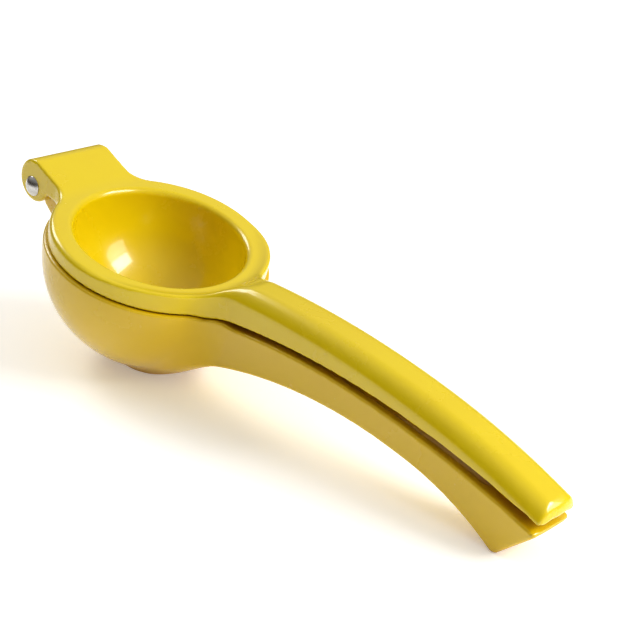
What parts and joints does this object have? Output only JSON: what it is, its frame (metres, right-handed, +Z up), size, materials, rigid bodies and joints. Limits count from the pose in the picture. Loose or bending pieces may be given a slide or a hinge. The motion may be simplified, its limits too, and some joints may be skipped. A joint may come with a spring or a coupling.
{
  "type": "hinged lemon squeezer",
  "caption": "Closed hand press for lemon halves: a cup with a long curved handle hinged by a rivet to a strainer bowl with a matching handle.",
  "frame": {"origin": "bottom centre of the closed squeezer's box, on the surface it lies on", "axes": "+X along the handles toward their ends, +Y across the handles along the hinge pin, +Z up"},
  "size_m": [0.2294, 0.0786, 0.0626],
  "materials": {
    "press_enamel": "gloss",
    "bowl_enamel": "gloss",
    "rivet_steel": "polished"
  },
  "bodies": {
    "bowl_half": {"bowl_half": "bowl_enamel"},
    "press_half": {"press_half": "press_enamel", "hinge_rivet": "rivet_steel"}
  },
  "joints": [
    {"name": "hinge", "type": "hinge", "parent": "bowl_half", "child": "press_half", "pos_m": [-0.10757, 0, 0.0528], "axis": [0, -1, 0], "range_deg": [0, 115]}
  ]
}
